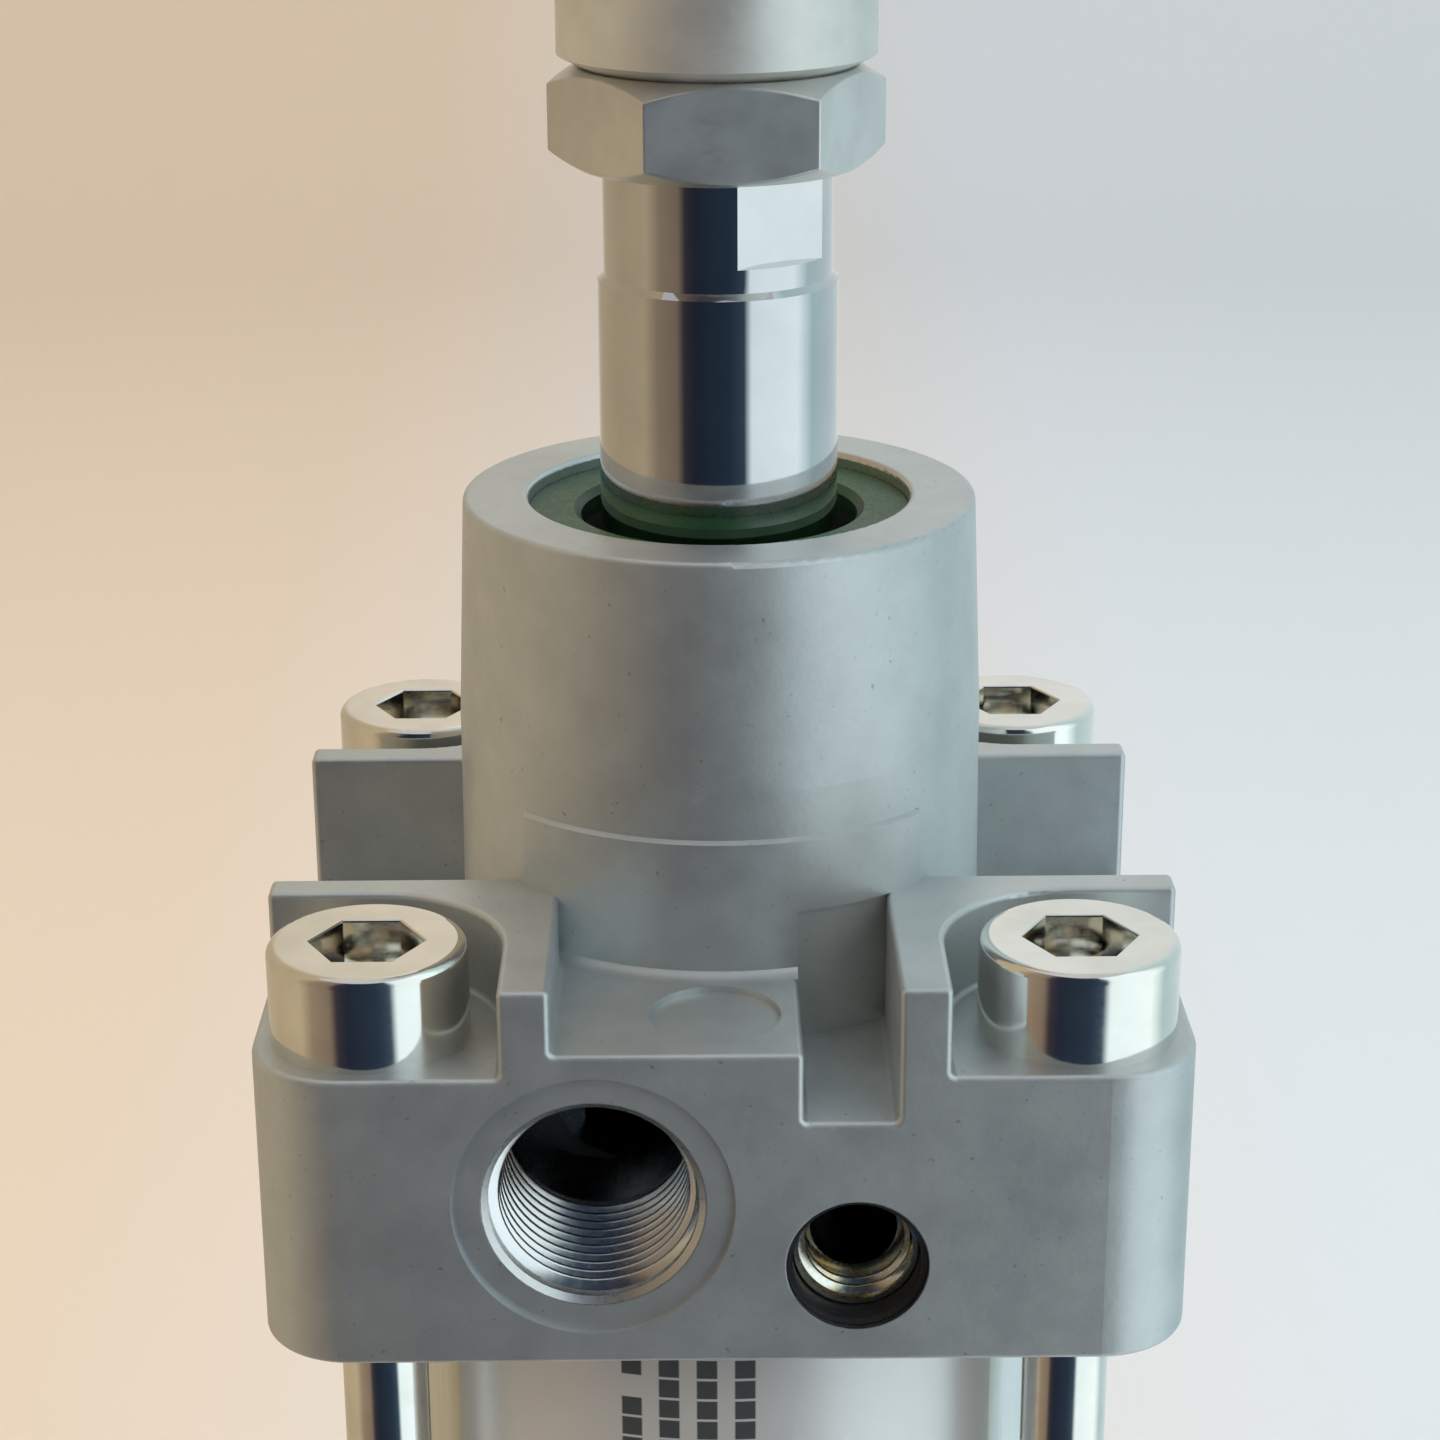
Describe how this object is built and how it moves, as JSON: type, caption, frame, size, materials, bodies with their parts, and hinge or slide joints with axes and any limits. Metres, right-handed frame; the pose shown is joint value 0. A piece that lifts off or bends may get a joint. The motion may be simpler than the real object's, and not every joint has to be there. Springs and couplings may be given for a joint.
{
  "type": "pneumatic cylinder",
  "caption": "Tie-rod pneumatic cylinder with die-cast end caps, cushion needle valves, air ports, a sliding chromed rod, lock nut and fork clevis.",
  "frame": {"origin": "centre of the rear mounting face", "axes": "+Z along the piston rod, out of the front head; -Y is the side with the air ports and needles"},
  "size_m": [0.075, 0.075, 0.319],
  "materials": {
    "cast_aluminium": "as die-cast, matte with a fine grain",
    "barrel_aluminium": "drawn and clear anodised, satin",
    "label": "satin film",
    "plated_steel": "bright zinc plated, turned",
    "nut_steel": "zinc plated",
    "clevis_steel": "zinc plated",
    "black_rubber": "matte",
    "bearing_bronze": "sintered bronze",
    "green_plastic": "moulded, satin",
    "needle_brass": "nickel plated, worn",
    "black_plastic": "moulded",
    "chromed_rod": "hard chromed and polished",
    "piston_aluminium": "turned",
    "magnet": "plastic-bonded ferrite",
    "guide_plastic": "filled PTFE"
  },
  "bodies": {
    "cylinder": {"front_head": "cast_aluminium", "rear_cap": "cast_aluminium", "barrel_tube": "barrel_aluminium", "data_label": "label", "front_tie_rod_nuts": "plated_steel", "rear_tie_rod_nuts": "plated_steel", "tie_rod_front_left": "plated_steel", "tie_rod_front_right": "plated_steel", "tie_rod_back_left": "plated_steel", "tie_rod_back_right": "plated_steel", "front_barrel_ring": "black_rubber", "rear_barrel_ring": "black_rubber", "rod_bearing": "bearing_bronze", "rod_seal": "black_rubber", "wiper_holder": "green_plastic", "rod_wiper": "black_rubber", "front_cushion_seal": "black_rubber", "rear_cushion_seal": "black_rubber", "front_needle_retainer": "black_plastic", "rear_needle_retainer": "black_plastic"},
    "piston_seals": {"piston_guide_ring": "guide_plastic", "front_piston_seal": "black_rubber", "rear_piston_seal": "black_rubber"},
    "rod": {"piston_rod": "chromed_rod", "front_piston_half": "piston_aluminium", "rear_piston_half": "piston_aluminium", "piston_magnet": "magnet", "stub_ring": "black_rubber", "front_cushion_sleeve": "plated_steel", "rear_cushion_sleeve": "plated_steel", "piston_nut": "plated_steel", "rod_lock_nut": "nut_steel", "rod_clevis": "clevis_steel"},
    "front_needle_screw": {"front_needle": "needle_brass", "front_needle_ring": "black_rubber"},
    "rear_needle_screw": {"rear_needle": "needle_brass", "rear_needle_ring": "black_rubber"}
  },
  "joints": [
    {"name": "rod_slide", "type": "slide", "parent": "cylinder", "child": "piston_seals", "axis": [0, 0, 1], "range_m": [-0.02, 0.03]},
    {"name": "rod_spin", "type": "hinge", "parent": "piston_seals", "child": "rod", "pos_m": [0, 0, 0.228], "axis": [0, 0, 1], "continuous": true},
    {"name": "front_needle_turn", "type": "hinge", "parent": "cylinder", "child": "front_needle_screw", "pos_m": [0.0104, -0.0375, 0.1472], "axis": [0, -1, 0], "range_deg": [-360, 1080]},
    {"name": "rear_needle_turn", "type": "hinge", "parent": "cylinder", "child": "rear_needle_screw", "pos_m": [0.0104, -0.0375, 0.0238], "axis": [0, -1, 0], "range_deg": [-360, 1080]}
  ]
}
